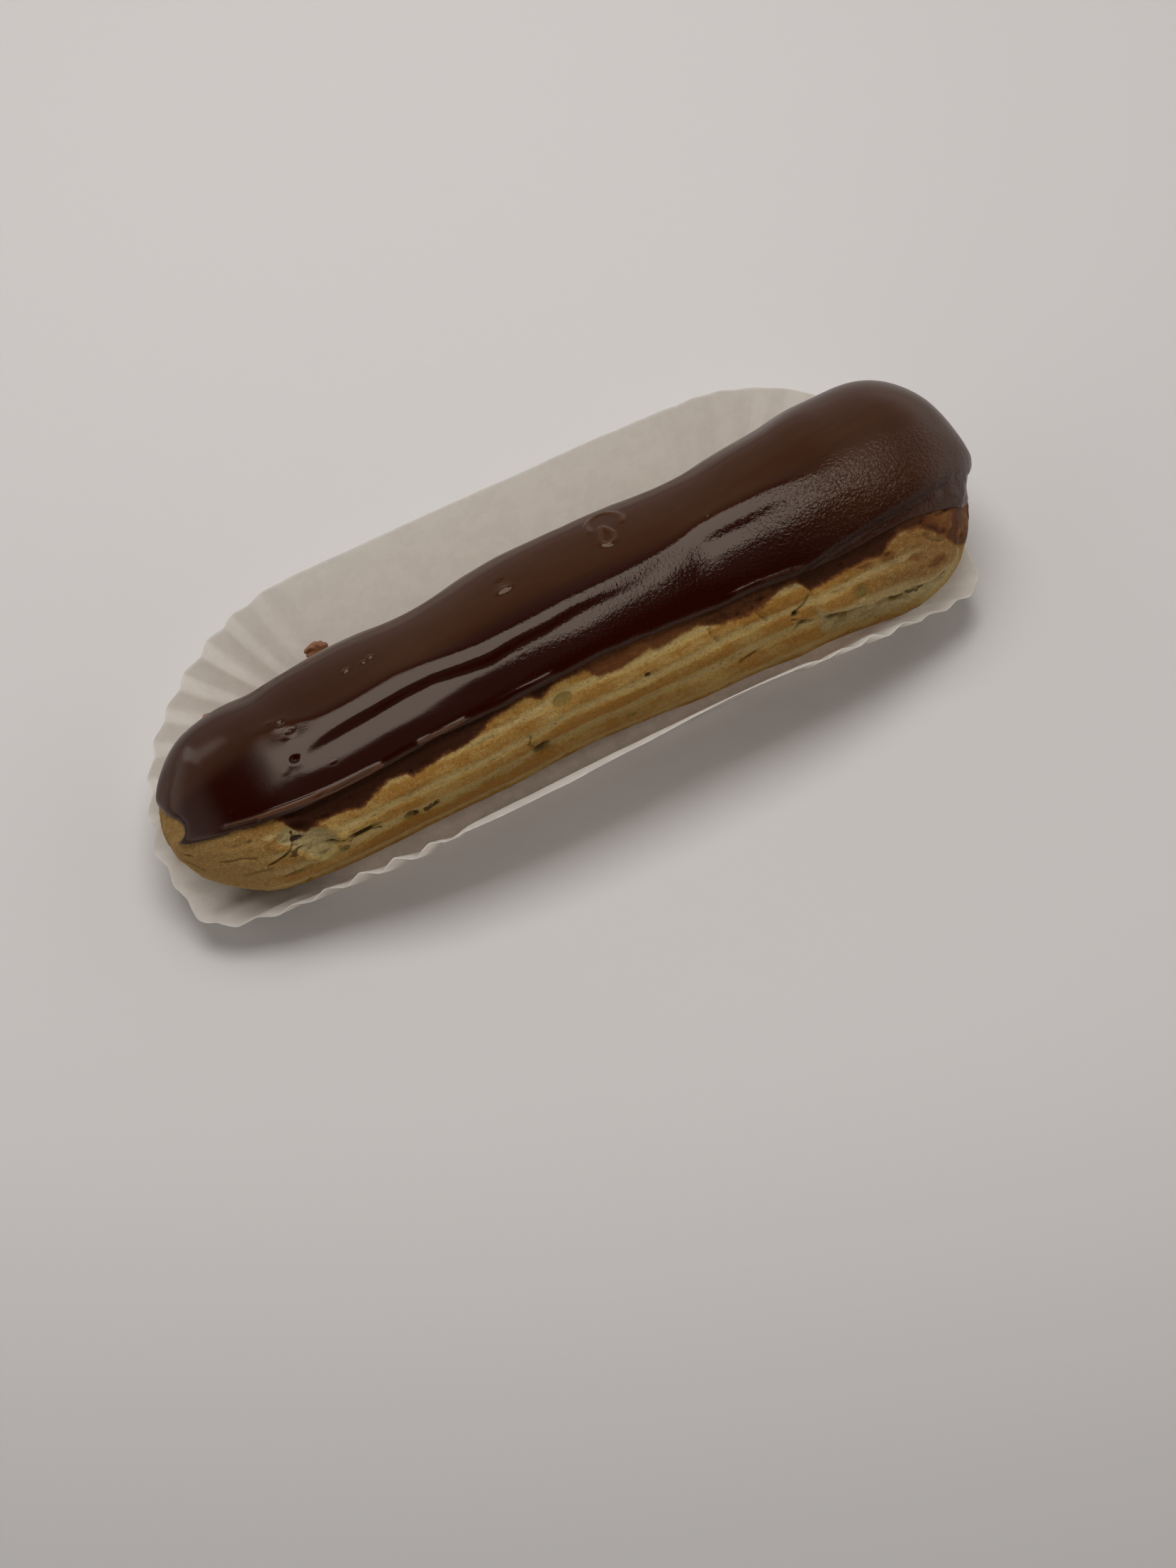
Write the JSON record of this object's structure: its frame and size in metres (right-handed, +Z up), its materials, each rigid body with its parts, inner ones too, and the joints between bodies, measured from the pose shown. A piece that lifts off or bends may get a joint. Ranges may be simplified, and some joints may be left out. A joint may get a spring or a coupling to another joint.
{
  "type": "chocolate eclair",
  "caption": "Long choux pastry finger with a ribbed golden shell and dark glossy chocolate icing, lying in an oval white paper case with fluted ends.",
  "frame": {"origin": "on the table under the case, in the middle of the box round the eclair and its case", "axes": "+X along the eclair towards its fat end, +Y towards the side where the case stands away from the eclair, +Z up"},
  "size_m": [0.1523, 0.0579, 0.0334],
  "materials": {
    "choux": "baked golden crust, matt and porous",
    "icing": "set chocolate fondant, glossy",
    "greaseproof_paper": "thin white greaseproof paper, slightly translucent"
  },
  "bodies": {
    "root": {"choux_shell": "choux", "chocolate_icing": "icing", "paper_case": "greaseproof_paper"}
  },
  "joints": []
}
